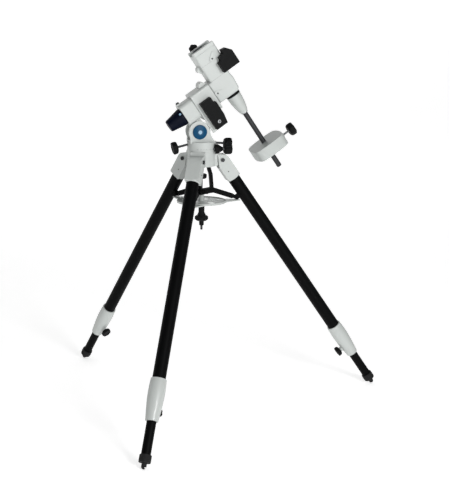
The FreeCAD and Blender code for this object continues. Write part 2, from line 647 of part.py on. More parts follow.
def polar_worm_wheel():
    wheel = toothed_disc(POLAR_WHEEL_R, POLAR_TEETH, TOOTH_DEPTH, WHEEL_THICKNESS, POLAR_SHAFT_R)
    return laid_along(wheel, (1, 0, 0), (POLAR_WHEEL_AT, 0, 0))


def worm_on_spindle(wheel_r, teeth, reach):
    """Worm centred on z = 0, with a spindle that reaches up into the gear head."""
    pitch = 2 * math.pi * wheel_r / teeth
    worm = moved(worm_screw(WORM_LENGTH, pitch), 0, 0, -WORM_LENGTH / 2)
    return fused(worm, cylinder(SPINDLE_R, (0, 0, -WORM_LENGTH / 2 - 8), (0, 0, reach)))


def polar_worm():
    worm = worm_on_spindle(POLAR_WHEEL_R, POLAR_TEETH, 54)
    return laid_along(worm, (0, -1, 0), (POLAR_WHEEL_AT + WHEEL_THICKNESS / 2, 0, POLAR_WORM_D))


def hollow_cover(outline, y_low, y_high):
    """Moulded cover, open on the side that faces the housing."""
    solid = prism(outline, y_low, y_high)
    face = Part.Face(Part.makePolygon([Vector(x, y_high, z) for x, z in outline + outline[:1]]))
    inner = face.makeOffset2D(-COVER_WALL).extrude(Vector(0, y_low - y_high + COVER_WALL, 0))
    return solid.cut(inner)


def polar_motor_cover():
    cover = hollow_cover(POLAR_COVER, COVER_OUTER, -HEAD_HALF_WIDTH)
    socket = cylinder(4, (-104, COVER_OUTER - 1, -76), (-104, COVER_OUTER + 4, -76))
    return cover.cut(socket)


def gear_motor(can_length, shaft_axis):
    """Right-angle gear head round the origin, bored for a worm's spindle, with its motor below."""
    half = 10.0
    can = cylinder(half - 0.5, (0, 0, -half - can_length), (0, 0, -half))
    head = block((-half, -half, -half), (half, half, half))
    reach = shaft_axis * (half + 1)
    bore = cylinder(SPINDLE_R + RUNNING_GAP, tuple(reach * -1), tuple(reach))
    return fused(can, head).cut(bore)


def polar_motor():
    place = (POLAR_WHEEL_AT + WHEEL_THICKNESS / 2, -50.5, POLAR_WORM_D)
    return moved(gear_motor(42, Y_AXIS), *place)


def polar_cap():
    outline = [(0, 0), (20.5, 0), (21.8, 2), (30.8, 58), (31.2, 62.5), (0, 62.5)]
    cap = moved(turned(outline, X_AXIS), POLAR_END - 63, 0, 0)
    return cap.cut(cylinder(26, (POLAR_END - 30, 0, 0), (POLAR_END + 1, 0, 0)))


# --- declination axis (head frame) ---------------------------------------------------


def declination_housing():
    wide = HEAD_HALF_WIDTH
    lower_outline = [(POLAR_FACE + 0.5, -33), (19, -33), (26, -24), (29, 14), (24, 47),
                     (POLAR_FACE + 0.5, 47)]
    lower = prism(lower_outline, -wide, wide)
    lower = lower.makeFillet(6, [e for e in lower.Edges if is_long_side_edge(e, wide)])
    neck = rounded_block((-50, -wide, 40), (NECK_RIGHT, 26, 118), 6, Z_AXIS)
    upper = rounded_block((-50, -wide, 106), (SADDLE_NORTH, wide, SADDLE_BOTTOM - PART_GAP), 6, Z_AXIS)
    lever_boss = cylinder(13, (-50, -16, 98), (-50, 16, 98))
    body = fused(lower, neck, upper, lever_boss)
    for x, z, lean in ((-50, 2, 24), (0, 112, -38)):
        body = body.fuse(worm_boss(x, z, lean))
    wheel_z = DEC_WHEEL_AT + WHEEL_THICKNESS / 2
    rooms = [cylinder(DEC_SHAFT_R + RUNNING_GAP, (0, 0, -10), (0, 0, 200)),
             cylinder(DEC_WHEEL_R + 1.5, (0, 0, DEC_WHEEL_AT - 2), (0, 0, DEC_WHEEL_AT + 12)),
             cylinder(WORM_R + 1.5, (-24, DEC_WORM_Y, wheel_z), (NECK_RIGHT + 1, DEC_WORM_Y, wheel_z)),
             cylinder(POLAR_SHAFT_R, (POLAR_FACE, 0, 0), (POLAR_SHAFT_TOP, 0, 0)),
             cylinder(COUNTERWEIGHT_SHAFT_R, (0, 0, -40), (0, 0, SHAFT_SOCKET))]
    return body.cut(rooms).removeSplitter()


def is_long_side_edge(edge, wide):
    """Edges of the lower casting that lie in its two side faces."""
    box = edge.BoundBox
    return abs(box.YMin - box.YMax) < 0.01 and abs(abs(box.YMin) - wide) < 0.01


def worm_boss(x, z, lean):
    """Raised oblong pad on the near side, with its adjusting screw."""
    pad = rounded_block((-11, -HEAD_HALF_WIDTH - 2.5, -9), (26, -HEAD_HALF_WIDTH + 2, 9), 8.5, Y_AXIS)
    screw_hole = cylinder(2.6, (0, -HEAD_HALF_WIDTH - 4, 0), (0, -HEAD_HALF_WIDTH + 1, 0))
    pad = pad.cut(screw_hole)
    pad.Placement = Placement(Vector(x, 0, z), Rotation(Y_AXIS, lean))
    return pad


def declination_shaft():
    return cylinder(DEC_SHAFT_R, (0, 0, 0), (0, 0, SADDLE_BOTTOM))


def declination_worm_wheel():
    wheel = toothed_disc(DEC_WHEEL_R, DEC_TEETH, TOOTH_DEPTH, WHEEL_THICKNESS, DEC_SHAFT_R)
    return moved(wheel, 0, 0, DEC_WHEEL_AT)


def declination_worm():
    worm = worm_on_spindle(DEC_WHEEL_R, DEC_TEETH, 54)
    return laid_along(worm, (1, 0, 0), (0, DEC_WORM_Y, DEC_WHEEL_AT + WHEEL_THICKNESS / 2))


def declination_motor_cover():
    """Flat front box, with a deep lobe behind it that closes against the housing's neck."""
    wall = COVER_WALL
    back = -HEAD_HALF_WIDTH
    front = prism(DEC_COVER, COVER_OUTER, back)
    lobe = block((NECK_RIGHT, back - 1, 56), (67, 8, 104))
    outer = fused(front, lobe)
    face = Part.Face(Part.makePolygon([Vector(x, back - wall, z) for x, z in DEC_COVER + DEC_COVER[:1]]))
    front_room = face.makeOffset2D(-wall).extrude(Vector(0, COVER_OUTER - back + 2 * wall, 0))
    lobe_room = block((NECK_RIGHT - 1, back - wall - 1, 56 + wall), (67 - wall, 8 - wall, 104 - wall))
    return outer.cut([front_room, lobe_room])


def declination_motor():
    place = (46, DEC_WORM_Y, DEC_WHEEL_AT + WHEEL_THICKNESS / 2)
    return moved(gear_motor(15, X_AXIS), *place)


def setting_collar():
    return ring(26.5, COUNTERWEIGHT_SHAFT_R, (0, 0, -44.5), (0, 0, -33))


def counterweight_cone():
    cone = bulged([(25.8, -44.5), (24.9, -66), (21.4, -90), (16.0, -111), (13.4, -117)])
    return cone.cut(cylinder(COUNTERWEIGHT_SHAFT_R, (0, 0, -200), (0, 0, 0)))


def counterweight_shaft():
    chamfer = 1.2
    return turned([(0, SHAFT_END), (COUNTERWEIGHT_SHAFT_R - chamfer, SHAFT_END),
                   (COUNTERWEIGHT_SHAFT_R, SHAFT_END + chamfer),
                   (COUNTERWEIGHT_SHAFT_R, SHAFT_SOCKET), (0, SHAFT_SOCKET)])


def counterweight():
    """Square-plan weight with bowed sides and rounded corners, bored for the bar."""
    half = COUNTERWEIGHT_HALF
    low, high = COUNTERWEIGHT_BOTTOM, COUNTERWEIGHT_TOP
    solid = block((-half, -half, low), (half, half, high))
    for side in range(4):
        turn = math.radians(90 * side)
        x = (half - BOW_R) * math.cos(turn)
        y = (half - BOW_R) * math.sin(turn)
        solid = solid.common(cylinder(BOW_R, (x, y, low), (x, y, high)))
    corners = [e for e in solid.Edges if e.BoundBox.ZLength > 1 and e.BoundBox.XLength < 0.01]
    solid = solid.makeFillet(COUNTERWEIGHT_CORNER, corners)
    rims = [e for e in solid.Edges if e.BoundBox.ZLength < 0.01]
    solid = moved(solid.makeFillet(2.5, rims), COUNTERWEIGHT_SHIFT, 0, 0)
    middle = (low + high) / 2
    solid = solid.cut(cylinder(COUNTERWEIGHT_SHAFT_R + RUNNING_GAP, (0, 0, low - 1), (0, 0, high + 1)))
    return solid.cut(cylinder(COUNTERWEIGHT_SCREW_R + RUNNING_GAP, (5, 0, middle), (100, 0, middle)))


def counterweight_knob():
    middle = (COUNTERWEIGHT_TOP + COUNTERWEIGHT_BOTTOM) / 2
    grip = laid_along(grip_knob(24.5, 23, 7), (1, 0, 0), (97, 0, middle))
    screw = cylinder(COUNTERWEIGHT_SCREW_R, (10, 0, middle), (99, 0, middle))
    return fused(grip, screw)


# --- saddle (head frame) -------------------------------------------------------------
def dovetail_wedge(extra):
    """The slot's section, grown by a gap on each side, running along the polar axis."""
    floor = SADDLE_TOP - DOVETAIL_DEPTH
    top = DOVETAIL_TOP_HALF + extra
    bottom = DOVETAIL_BOTTOM_HALF + extra
    corners = [Vector(-60, -bottom, floor), Vector(-60, bottom, floor), Vector(-60, top, SADDLE_TOP + 1),
               Vector(-60, -top, SADDLE_TOP + 1)]
    return Part.Face(Part.makePolygon(corners + corners[:1])).extrude(Vector(120, 0, 0))


def saddle():
    wide = HEAD_HALF_WIDTH
    plate = rounded_block((-50, -wide, SADDLE_BOTTOM), (SADDLE_NORTH, wide, SADDLE_TOP), 5, Z_AXIS)
    plate = plate.cut(dovetail_wedge(0))
    pocket = block((JAW_X - JAW_HALF_LENGTH - 0.3, 10, SADDLE_TOP - DOVETAIL_DEPTH),
                   (JAW_X + JAW_HALF_LENGTH + 0.3, JAW_LOW_Y + 6.3, SADDLE_TOP + 1))
    plate = plate.cut(pocket)
    screw_hole = cylinder(3 + RUNNING_GAP, (JAW_X, 20, SADDLE_TOP - 5), (JAW_X, 60, SADDLE_TOP - 5))
    plate = plate.cut(screw_hole)
    for x in (-20, 1):
        plate = plate.cut(cylinder(3, (x, -30, SADDLE_TOP - 3), (x, -30, SADDLE_TOP + 1)))
    return plate


def saddle_jaw():
    """Sliding jaw that presses the telescope's dovetail bar against the fixed side."""
    low = SADDLE_TOP - DOVETAIL_DEPTH + 0.3
    high = SADDLE_TOP - 0.3
    slope = (DOVETAIL_BOTTOM_HALF - DOVETAIL_TOP_HALF) / (DOVETAIL_DEPTH + 1)
    inner_low = DOVETAIL_BOTTOM_HALF
    inner_high = inner_low - slope * (high - low)
    x = JAW_X - JAW_HALF_LENGTH
    corners = [Vector(x, inner_low, low), Vector(x, JAW_LOW_Y + 3, low), Vector(x, JAW_LOW_Y + 3, high),
               Vector(x, inner_high, high)]
    return Part.Face(Part.makePolygon(corners + corners[:1])).extrude(Vector(2 * JAW_HALF_LENGTH, 0, 0))


def saddle_knob():
    at = SADDLE_TOP - 5
    grip = laid_along(grip_knob(17, 19, 6), (0, 1, 0), (JAW_X, SADDLE_KNOB_Y, at))
    screw = cylinder(3, (JAW_X, JAW_LOW_Y + 3.4, at), (JAW_X, SADDLE_KNOB_Y + 2, at))
    return fused(grip, screw)


# --- assembly ------------------------------------------------------------------------
def as_shape(solids):
    """One shape from a solid, or from a list of separate solids."""
    return Part.Compound(solids) if isinstance(solids, list) else solids


def tripod_nodes():
    nodes = {
        "tripod_hub": upright(tripod_hub()),
        "leg_pivot_bolts": leg_pivot_bolts(),
        "centre_bolt": upright(centre_bolt()),
        "centre_bolt_knob": upright(centre_bolt_knob()),
        "brace_spider": upright(brace_spider()),
        "spreader_tray": upright(spreader_tray()),
        "tension_sleeve": upright(tension_sleeve()),
        "tension_knob": upright(tension_knob()),
    }
    for name, angle in LEG_ANGLES.items():
        nodes["leg_bracket_" + name] = on_leg(leg_bracket(), angle)
        nodes["leg_outer_tube_" + name] = on_leg(leg_outer_tube(), angle)
        nodes["leg_clamp_" + name] = on_leg(leg_clamp(), angle)
        nodes["leg_clamp_knob_" + name] = on_leg(leg_clamp_knob(), angle)
        nodes["leg_inner_tube_" + name] = on_leg(leg_inner_tube(), angle)
        nodes["leg_foot_" + name] = on_leg(leg_foot(), angle)
        nodes["brace_arm_" + name] = around(brace_arm(), angle)
    return nodes


def azimuth_nodes():
    return {
        "azimuth_base": upright(azimuth_base()),
        "latitude_pivot_bolt": upright(latitude_pivot_bolt()),
        "latitude_pivot_caps": upright(as_shape(latitude_pivot_caps())),
        "latitude_rod_north": upright(latitude_rod(1, NORTH_BOLT_DROP, 96)),
        "latitude_knob_north": upright(latitude_knob(1, NORTH_BOLT_DROP, 96, 21, 26)),
        "latitude_rod_south": upright(latitude_rod(-1, SOUTH_BOLT_DROP, 76)),
        "latitude_knob_south": upright(latitude_knob(-1, SOUTH_BOLT_DROP, 76, 23, 19)),
        "azimuth_boss": upright(azimuth_boss()),
        "azimuth_knob": upright(azimuth_knob()),
    }


def head_nodes():
    return {
        "polar_housing": on_axes(polar_housing()),
        "polar_bearings": on_axes(as_shape(polar_bearings())),
        "polar_shaft": on_axes(polar_shaft()),
        "polar_worm_wheel": on_axes(polar_worm_wheel()),
        "polar_worm": on_axes(polar_worm()),
        "polar_motor_cover": on_axes(polar_motor_cover()),
        "polar_motor": on_axes(polar_motor()),
        "polar_cap": on_axes(polar_cap()),
        "declination_housing": on_axes(declination_housing()),
        "declination_shaft": on_axes(declination_shaft()),
        "declination_worm_wheel": on_axes(declination_worm_wheel()),
        "declination_worm": on_axes(declination_worm()),
        "declination_motor_cover": on_axes(declination_motor_cover()),
        "declination_motor": on_axes(declination_motor()),
        "setting_collar": on_axes(setting_collar()),
        "counterweight_cone": on_axes(counterweight_cone()),
        "counterweight_shaft": on_axes(counterweight_shaft()),
        "counterweight": on_axes(counterweight()),
        "counterweight_knob": on_axes(counterweight_knob()),
        "saddle": on_axes(saddle()),
        "saddle_jaw": on_axes(saddle_jaw()),
        "saddle_knob": on_axes(saddle_knob()),
    }


def main():
    os.makedirs("parts", exist_ok=True)
    nodes = {}
    nodes.update(tripod_nodes())
    nodes.update(azimuth_nodes())
    nodes.update(head_nodes())
    for name, shape in nodes.items():
        shape.exportStep("parts/" + name + ".step")
        print(name, "solids", len(shape.Solids), "valid", shape.isValid(), "cm3", round(shape.Volume / 1000, 1))


main()
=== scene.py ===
import bmesh
import bpy
import json
import math
from mathutils import Matrix, Vector

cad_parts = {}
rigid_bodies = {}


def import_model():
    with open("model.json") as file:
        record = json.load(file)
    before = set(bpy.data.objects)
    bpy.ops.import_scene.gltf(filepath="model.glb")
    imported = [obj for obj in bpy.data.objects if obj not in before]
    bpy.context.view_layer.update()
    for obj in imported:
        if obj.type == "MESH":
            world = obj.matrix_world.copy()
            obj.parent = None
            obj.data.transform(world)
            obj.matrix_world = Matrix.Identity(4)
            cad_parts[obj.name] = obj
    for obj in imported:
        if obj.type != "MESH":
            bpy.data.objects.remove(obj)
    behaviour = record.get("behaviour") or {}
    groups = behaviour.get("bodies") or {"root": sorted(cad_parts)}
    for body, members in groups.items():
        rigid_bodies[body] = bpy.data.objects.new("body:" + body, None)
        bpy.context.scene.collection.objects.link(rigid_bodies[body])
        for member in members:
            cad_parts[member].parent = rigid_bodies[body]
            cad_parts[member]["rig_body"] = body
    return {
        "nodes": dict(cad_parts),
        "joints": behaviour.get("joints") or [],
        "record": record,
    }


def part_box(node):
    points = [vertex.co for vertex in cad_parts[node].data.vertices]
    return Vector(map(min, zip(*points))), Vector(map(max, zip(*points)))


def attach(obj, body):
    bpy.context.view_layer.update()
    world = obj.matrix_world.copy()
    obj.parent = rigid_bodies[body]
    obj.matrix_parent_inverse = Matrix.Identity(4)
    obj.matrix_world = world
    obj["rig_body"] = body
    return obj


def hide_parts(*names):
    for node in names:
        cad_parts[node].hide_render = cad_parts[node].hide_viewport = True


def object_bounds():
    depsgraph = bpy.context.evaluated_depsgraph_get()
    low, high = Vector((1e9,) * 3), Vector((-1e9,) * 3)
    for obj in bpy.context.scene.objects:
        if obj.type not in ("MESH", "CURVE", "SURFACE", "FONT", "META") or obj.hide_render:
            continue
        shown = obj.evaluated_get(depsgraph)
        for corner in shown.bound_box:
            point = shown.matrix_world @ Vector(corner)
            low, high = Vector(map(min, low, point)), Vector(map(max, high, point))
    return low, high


# Looks for an equatorial mount on its tripod. Lengths in the local frames are millimetres.
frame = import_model()
cad_low, cad_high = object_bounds()
NODES = frame["nodes"]
JOINTS = {j["name"]: j for j in frame["joints"]}
MM = 0.001
UP = Vector((0, 0, 1))
LEGS = ("north", "west", "east")


# --- local frames ----------------------------------------------------------------------
def basis(origin, x, y, z):
    """Millimetre frame at a point, with its three axes."""
    m = Matrix.Identity(4)
    for column, axis in enumerate((x, y, z)):
        for row in range(3):
            m[row][column] = axis[row] * MM
    for row in range(3):
        m[row][3] = origin[row]
    return m


def axis_of(joint):
    return Vector(JOINTS[joint]["axis"]).normalized()


def place_of(joint):
    return Vector(JOINTS[joint]["pos_m"])


def leg_frame(name):
    """x runs down the leg from its hinge pin, z points out of the leg's upper side."""
    x = axis_of("leg_extend_" + name)
    y = UP.cross(Vector((x.x, x.y, 0)).normalized())
    return basis(place_of("leg_fold_" + name), x, y, x.cross(y))


def along_frame(origin, z):
    """Frame with z along a direction."""
    x = Vector((0, 1, 0)) if abs(z.y) < 0.9 else Vector((1, 0, 0))
    x = (x - z * x.dot(z)).normalized()
    return basis(origin, x, z.cross(x), z)


POLAR = axis_of("polar_axis_turn")
DEC = axis_of("declination_turn")
HEAD = basis(place_of("polar_axis_turn"), POLAR, DEC.cross(POLAR), DEC)
CENTRE = place_of("azimuth_turn")
UPRIGHT = basis(Vector((CENTRE.x, CENTRE.y, 0)), Vector((1, 0, 0)), Vector((0, 1, 0)), UP)
ALONG_X = Matrix.Rotation(math.radians(90), 4, "Y")


# --- materials -------------------------------------------------------------------------
WEAR_RADIUS = 0.0006
GRAIN_DEPTH = 0.0004
# Sockets of a Mix node that is set to colour.
MIX_FACTOR, MIX_A, MIX_B, MIX_RESULT = 0, 6, 7, 2


def material(name, base, roughness, worn, wear, mottle, mottle_scale, grain, grain_scale,
             metallic=0.0, streak=(1, 1, 1), coat=0.0, specular=0.5):
    """Painted, moulded or machined finish: mottled colour, worn edges, uneven gloss and a fine grain."""
    mat = bpy.data.materials.new(name)
    mat.use_nodes = True
    tree = mat.node_tree
    shader = tree.nodes["Principled BSDF"]
    shader.inputs["Metallic"].default_value = metallic
    shader.inputs["Coat Weight"].default_value = coat
    shader.inputs["Specular IOR Level"].default_value = specular
    link = tree.links.new

    def node(kind, **values):
        n = tree.nodes.new(kind)
        for key, value in values.items():
            if key in n.inputs:
                n.inputs[key].default_value = value
            else:
                setattr(n, key, value)
        return n

    def remap(source, **limits):
        n = node("ShaderNodeMapRange")
        for key, value in limits.items():
            n.inputs[key.replace("_", " ").title()].default_value = value
        link(source, n.inputs["Value"])
        return n.outputs["Result"]

    place = node("ShaderNodeTexCoord")
    stretch = node("ShaderNodeMapping")
    stretch.inputs["Scale"].default_value = streak
    link(place.outputs["Object"], stretch.inputs["Vector"])
    cloud = node("ShaderNodeTexNoise", Scale=mottle_scale, Detail=6.0, Roughness=0.6)
    link(stretch.outputs["Vector"], cloud.inputs["Vector"])
    fine = node("ShaderNodeTexNoise", Scale=grain_scale, Detail=3.0, Roughness=0.5)
    link(stretch.outputs["Vector"], fine.inputs["Vector"])

    # Colour: a slow mottle, then scuffs along the edges.
    tint = node("ShaderNodeMix", data_type="RGBA")
    tint.inputs[MIX_A].default_value = [max(0.0, c * (1 - mottle)) for c in base] + [1.0]
    tint.inputs[MIX_B].default_value = [min(1.0, c * (1 + mottle)) for c in base] + [1.0]
    link(cloud.outputs["Fac"], tint.inputs[MIX_FACTOR])
    round_off = node("ShaderNodeBevel", samples=4)
    round_off.inputs["Radius"].default_value = WEAR_RADIUS
    surface = node("ShaderNodeNewGeometry")
    compare = node("ShaderNodeVectorMath", operation="DOT_PRODUCT")
    link(round_off.outputs["Normal"], compare.inputs[0])
    link(surface.outputs["Normal"], compare.inputs[1])
    sharp = remap(compare.outputs["Value"], from_min=0.995, from_max=0.9)
    patch = remap(cloud.outputs["Fac"], from_min=0.42, from_max=0.62)
    amount = node("ShaderNodeMath", operation="MULTIPLY")
    link(sharp, amount.inputs[0])
    link(patch, amount.inputs[1])
    scale = node("ShaderNodeMath", operation="MULTIPLY")
    link(amount.outputs["Value"], scale.inputs[0])
    scale.inputs[1].default_value = wear
    scuff = node("ShaderNodeMix", data_type="RGBA")
    link(scale.outputs["Value"], scuff.inputs[MIX_FACTOR])
    link(tint.outputs[MIX_RESULT], scuff.inputs[MIX_A])
    scuff.inputs[MIX_B].default_value = list(worn) + [1.0]
    link(scuff.outputs[MIX_RESULT], shader.inputs["Base Color"])

    # Gloss follows the mottle, and the grain is a fine bump.
    gloss = remap(cloud.outputs["Fac"], to_min=max(0.04, roughness - 0.08), to_max=min(1.0, roughness + 0.1))
    link(gloss, shader.inputs["Roughness"])
    bump = node("ShaderNodeBump")
    bump.inputs["Strength"].default_value = grain
    bump.inputs["Distance"].default_value = GRAIN_DEPTH
    link(fine.outputs["Fac"], bump.inputs["Height"])
    link(bump.outputs["Normal"], shader.inputs["Normal"])
    return mat


LOOKS = {
    "cream_paint": material(
        "cream_paint", (0.475, 0.5, 0.485), 0.4, worn=(0.36, 0.37, 0.36), wear=0.5,
        mottle=0.035, mottle_scale=35.0, grain=0.16, grain_scale=700.0, coat=0.15),
    "cream_iron": material(
        "cream_iron", (0.43, 0.455, 0.44), 0.45, worn=(0.3, 0.3, 0.29), wear=0.7,
        mottle=0.05, mottle_scale=45.0, grain=0.3, grain_scale=420.0, coat=0.1),
    "black_satin": material(
        "black_satin", (0.0015, 0.0016, 0.0018), 0.5, specular=0.06, worn=(0.06, 0.06, 0.065), wear=0.6,
        mottle=0.25, mottle_scale=26.0, streak=(1, 1, 0.12), grain=0.12, grain_scale=900.0),
    "black_plastic": material(
        "black_plastic", (0.004, 0.0043, 0.0045), 0.56, specular=0.1, worn=(0.05, 0.05, 0.055), wear=0.55,
        mottle=0.2, mottle_scale=90.0, grain=0.5, grain_scale=1500.0),
    "navy_plastic": material(
        "navy_plastic", (0.0004, 0.002, 0.0095), 0.42, specular=0.1, worn=(0.05, 0.06, 0.09), wear=0.5,
        mottle=0.15, mottle_scale=70.0, grain=0.25, grain_scale=1300.0),
    "blue_cap": material(
        "blue_cap", (0.0008, 0.052, 0.125), 0.36, specular=0.12, worn=(0.06, 0.2, 0.34), wear=0.5,
        mottle=0.12, mottle_scale=80.0, grain=0.1, grain_scale=900.0),
    "blue_light": material(
        "blue_light", (0.26, 0.42, 0.56), 0.35, worn=(0.5, 0.6, 0.68), wear=0.4,
        mottle=0.08, mottle_scale=90.0, grain=0.1, grain_scale=900.0),
    "dark_steel": material(
        "dark_steel", (0.03, 0.031, 0.033), 0.42, metallic=0.6, worn=(0.3, 0.3, 0.3), wear=0.5,
        mottle=0.15, mottle_scale=80.0, streak=(1, 1, 4), grain=0.25, grain_scale=700.0),
    "bright_steel": material(
        "bright_steel", (0.34, 0.35, 0.36), 0.34, metallic=1.0, worn=(0.7, 0.7, 0.7), wear=0.5,
        mottle=0.1, mottle_scale=90.0, streak=(1, 1, 6), grain=0.2, grain_scale=900.0),
    "brass": material(
        "brass", (0.55, 0.38, 0.14), 0.3, metallic=1.0, worn=(0.7, 0.55, 0.3), wear=0.5,
        mottle=0.15, mottle_scale=90.0, grain=0.2, grain_scale=900.0),
    "black_rubber": material(
        "black_rubber", (0.008, 0.008, 0.0085), 0.72, specular=0.3, worn=(0.06, 0.06, 0.06), wear=0.6,
        mottle=0.2, mottle_scale=120.0, grain=0.6, grain_scale=1100.0),
    # Near-black: painted shadow in the polar joint, and the colour of the printed azimuth marks.
    "gap_shadow_and_marks": material(
        "gap_shadow_and_marks", (0.02, 0.02, 0.021), 0.6, worn=(0.04, 0.04, 0.04), wear=0.3,
        mottle=0.2, mottle_scale=100.0, grain=0.2, grain_scale=900.0),
    # Mid-grey paint for the thin lines of painted shadow on the declination casting.
    "painted_shadow_line": material(
        "painted_shadow_line", (0.2, 0.205, 0.2), 0.6, worn=(0.3, 0.3, 0.3), wear=0.3,
        mottle=0.2, mottle_scale=120.0, grain=0.1, grain_scale=900.0),
}
# Material slot of each CAD node, as the record gives it; a CAD node takes the look of that name.
SLOT_OF = {s["node"]: s["material_slot"] for s in frame["record"]["subparts"]}
# The leg hinge bolts are blued, darker than the other steel.
NODE_LOOK = {"leg_pivot_bolts": "dark_steel"}

# --- castings and tubes: the CAD nodes themselves ---------------------------------------
EDGE_MM = {"tripod_hub": 1.6, "azimuth_base": 1.4, "polar_housing": 1.6, "declination_housing": 1.6,
           "saddle": 0.9, "counterweight": 1.2, "spreader_tray": 1.0, "brace_spider": 1.0,
           "polar_motor_cover": 1.6, "declination_motor_cover": 1.6}
LEG_EDGE_MM = {"leg_bracket_": 1.6, "brace_arm_": 0.8}
SMALL_EDGE_MM = 0.4
EDGE_ANGLE = math.radians(38)
SHADING_ANGLE = math.radians(40)
FLAT_ANGLE = math.radians(0.4)
WELD_MM = 0.0005


def edge_width(name):
    for prefix, width in LEG_EDGE_MM.items():
        if name.startswith(prefix):
            return width
    return EDGE_MM.get(name, SMALL_EDGE_MM)


def soften(obj, width_mm, segments):
    """Rounds an object's sharp edges."""
    soft = obj.modifiers.new("soft", "BEVEL")
    soft.limit_method = "ANGLE"
    soft.angle_limit = EDGE_ANGLE
    soft.width = width_mm * MM
    soft.segments = segments


def dress_node(name, obj):
    """Soft cast edges and even shading on a CAD node."""
    obj.data.materials.clear()
    obj.data.materials.append(LOOKS[NODE_LOOK.get(name, SLOT_OF[name])])
    obj.data.polygons.foreach_set("use_smooth", [True] * len(obj.data.polygons))
    flat = obj.modifiers.new("flat", "DECIMATE")
    flat.decimate_type = "DISSOLVE"
    flat.angle_limit = FLAT_ANGLE
    soften(obj, edge_width(name), 3)
    even = obj.modifiers.new("even", "WEIGHTED_NORMAL")
    even.keep_sharp = True


# --- mesh tools ------------------------------------------------------------------------
def piece(name, bm, place, body, look, bevel=0.0):
    """A finished mesh, drawn in millimetres in a local frame, that rides on a body."""
    bmesh.ops.remove_doubles(bm, verts=bm.verts, dist=WELD_MM)
    bmesh.ops.recalc_face_normals(bm, faces=bm.faces)
    mesh = bpy.data.meshes.new(name)
    bm.to_mesh(mesh)
    bm.free()
    mesh.transform(place)
    if place.determinant() < 0:
        mesh.flip_normals()
    mesh.polygons.foreach_set("use_smooth", [True] * len(mesh.polygons))
    mesh.set_sharp_from_angle(angle=SHADING_ANGLE)
    obj = bpy.data.objects.new(name, mesh)
    bpy.context.scene.collection.objects.link(obj)
    mesh.materials.append(LOOKS[look])
    if bevel:
        soften(obj, bevel, 2)
    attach(obj, body)
    return obj


def eased(points, radius, steps=4):
    """A (radius, height) outline with its inner corners rounded off."""
    out = [Vector(points[0])]
    for before, corner, after in zip(points, points[1:], points[2:]):
        a, b, c = Vector(before), Vector(corner), Vector(after)
        reach_a = min(radius, (a - b).length * 0.45)
        reach_c = min(radius, (c - b).length * 0.45)
        start = b + (a - b).normalized() * reach_a
        end = b + (c - b).normalized() * reach_c
        for i in range(steps + 1):
            t = i / steps
            out.append(start * (1 - t) ** 2 + b * 2 * t * (1 - t) + end * t ** 2)
    out.append(Vector(points[-1]))
    return out


def turn(bm, outline, around=48, shape=None):
    """Surface of revolution about z. shape(angle, radius, height) may change a point's radius."""
    rings = []
    for radius, height in outline:
        if radius < 1e-6:
            rings.append([bm.verts.new((0, 0, height))])
            continue
        ring = []
        for i in range(around):
            angle = 2 * math.pi * i / around
            r = shape(angle, radius, height) if shape else radius
            ring.append(bm.verts.new((r * math.cos(angle), r * math.sin(angle), height)))
        rings.append(ring)
    for low, high in zip(rings, rings[1:]):
        for i in range(around):
            j = (i + 1) % around
            if len(low) == 1 and len(high) == 1:
                break
            if len(low) == 1:
                bm.faces.new((low[0], high[i], high[j]))
            elif len(high) == 1:
                bm.faces.new((low[i], low[j], high[0]))
            else:
                bm.faces.new((low[i], low[j], high[j], high[i]))


def chunk(bm, low, high, place=None):
    """A block, placed by an optional matrix."""
    size = Vector(high) - Vector(low)
    middle = (Vector(high) + Vector(low)) / 2
    made = bmesh.ops.create_cube(bm, size=1.0)["verts"]
    m = Matrix.Translation(middle) @ Matrix.Diagonal((size.x, size.y, size.z, 1))
    bmesh.ops.transform(bm, matrix=(place or Matrix.Identity(4)) @ m, verts=made)


def turned(bm, outline, around, matrix, shape=None):
    """A surface of revolution, moved to its place by a matrix."""
    count = len(bm.verts)
    turn(bm, outline, around, shape)
    bm.verts.ensure_lookup_table()
    bmesh.ops.transform(bm, matrix=matrix, verts=bm.verts[count:])


def facing(at, direction):
    """Millimetre matrix with z along a direction, at a point."""
    z = Vector(direction).normalized()
    return Matrix.Translation(Vector(at)) @ z.to_track_quat("Z", "Y").to_matrix().to_4x4()


def socket_screw(bm, radius, height, at, direction):
    """Cap screw head with a hexagon socket."""
    depth = height * 0.6
    key = radius * 0.52

    def hexagon(angle, r, h):
        if r > key + 1e-6:
            return r
        turn_in = (angle % (math.pi / 3)) - math.pi / 6
        return r * math.cos(math.pi / 6) / math.cos(turn_in)

    outline = eased([(radius, 0), (radius, height), (key, height)], radius * 0.18, 3)
    outline += [(key, height - depth), (0, height - depth)]
    turned(bm, outline, 24, facing(at, direction), hexagon)


# --- knobs -----------------------------------------------------------------------------
FLUTE_DEPTH = 0.11
POINTS_PER_LOBE = 14
THREAD_PITCH = 1.6


def fluted(lobes, radius, low, high):
    """Scallops round a grip, fading out towards its lower face."""
    def shape(angle, r, h):
        if r < radius * 0.6:
            return r
        wave = 0.5 - 0.5 * math.cos(lobes * angle)
        fade = min(1.0, max(0.0, (h - low) / (0.18 * (high - low))))
        return r * (1 - FLUTE_DEPTH * (wave ** 1.6) * (0.3 + 0.7 * fade))
    return shape


def thread(radius, low, high):
    """Outline of a threaded rod with a chamfered end."""
    points = [(0, low), (radius * 0.8, low), (radius, low + 1)]
    t = low + 1
    while t + THREAD_PITCH < high:
        points += [(radius * 0.86, t + THREAD_PITCH * 0.5), (radius, t + THREAD_PITCH)]
        t += THREAD_PITCH
    return points + [(radius, high + 0.5), (0, high + 0.5)]


